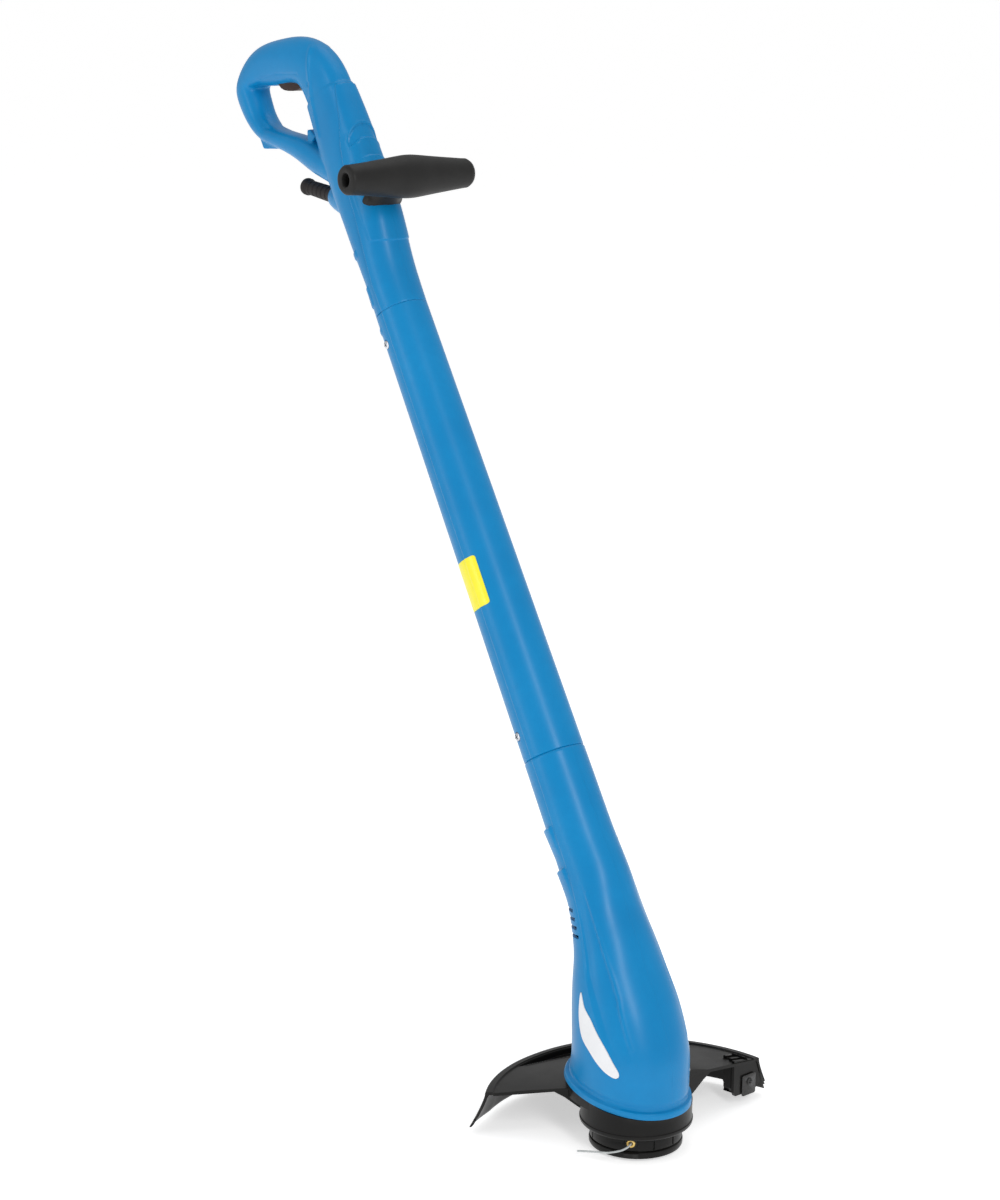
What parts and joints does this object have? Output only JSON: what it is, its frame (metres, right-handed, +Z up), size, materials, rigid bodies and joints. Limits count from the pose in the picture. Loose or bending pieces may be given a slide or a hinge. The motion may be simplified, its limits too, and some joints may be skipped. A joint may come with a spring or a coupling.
{
  "type": "string trimmer",
  "caption": "Upright corded string trimmer with D handle, front grip, tapered shaft, leaning motor head, guard and bump-feed line spool.",
  "frame": {"origin": "centre of the bump button's foot, on the spool's spin axis", "axes": "+Z up along the spool's spin axis, -Y the front with the front grip, the shaft leans back towards +Y, X across"},
  "size_m": [0.2378, 0.5912, 0.8548],
  "materials": {
    "blue_plastic": "satin moulded plastic",
    "black_plastic": "matte moulded plastic",
    "black_grip": "fine matte grip plastic",
    "dark_trigger": "matte",
    "red_plastic": "gloss",
    "black_rubber": "matte",
    "screw_steel": "bright zinc",
    "spring_steel": "bright",
    "blade_steel": "ground",
    "can_steel": "zinc plated",
    "lamination": "dull",
    "copper_wire": "enamelled copper",
    "ferrite": "dull ceramic",
    "carbon": "dull",
    "brass_ring": "bright",
    "yellow_label": "blank label",
    "white_inlay": "satin",
    "line_nylon": "clear grey nylon"
  },
  "bodies": {
    "body": {"handle_shell_left": "blue_plastic", "handle_shell_right": "blue_plastic", "handle_screws": "screw_steel", "trigger_pin": "screw_steel", "trigger_spring": "spring_steel", "switch_body": "black_plastic", "cord_sleeve": "black_rubber", "cord_clamp": "black_plastic", "cord_clamp_screws": "screw_steel", "front_grip": "black_grip", "grip_foot": "black_grip", "grip_screw": "screw_steel", "shaft_tube": "blue_plastic", "tube_screws": "screw_steel", "tube_label": "yellow_label", "motor_lead": "black_rubber", "motor_housing_left": "blue_plastic", "motor_housing_right": "blue_plastic", "housing_screws": "screw_steel", "side_inlay_left": "white_inlay", "side_inlay_right": "white_inlay", "motor_can": "can_steel", "motor_end_cap": "black_plastic", "motor_magnets": "ferrite", "carbon_brushes": "carbon", "lower_bearing": "screw_steel", "upper_bearing": "screw_steel", "rectifier_block": "black_plastic", "base_plate": "black_plastic", "guard": "black_plastic", "guard_screws": "screw_steel", "line_cutter_blade": "blade_steel", "cutter_screw": "screw_steel"},
    "spinner": {"motor_shaft": "screw_steel", "armature_core": "lamination", "armature_windings": "copper_wire", "commutator": "copper_wire", "cooling_fan": "black_plastic", "spool_housing": "black_plastic", "spool_cap": "black_plastic", "line_eyelet": "brass_ring", "trim_line": "line_nylon", "bump_spring": "spring_steel"},
    "bump_feed": {"bobbin": "black_plastic", "wound_line": "line_nylon", "bump_button": "black_plastic"},
    "trigger_lever": {"trigger": "dark_trigger"},
    "plunger": {"switch_plunger": "red_plastic"}
  },
  "joints": [
    {"name": "spool_spin", "type": "hinge", "parent": "body", "child": "spinner", "pos_m": [0, 0, 0], "axis": [0, 0, 1], "continuous": true},
    {"name": "bump_slide", "type": "slide", "parent": "spinner", "child": "bump_feed", "axis": [0, 0, 1], "range_m": [0, 0.0035], "stiffness_N_per_m": 1500, "springref_m": -0.002, "deforming": ["bump_spring"]},
    {"name": "trigger_pull", "type": "hinge", "parent": "body", "child": "trigger_lever", "pos_m": [0, 0.48135, 0.81922], "axis": [-1, 0, 0], "range_deg": [0, 8], "stiffness_Nm_per_rad": 0.8, "springref_deg": -6.88, "deforming": ["trigger_spring"]},
    {"name": "plunger_press", "type": "slide", "parent": "body", "child": "plunger", "axis": [0, 0.0593, 0.9982], "range_m": [0, 0.00286]}
  ],
  "couplings": [
    {"joint": "plunger_press", "follows": "trigger_pull", "m_per_rad": 0.0205}
  ]
}
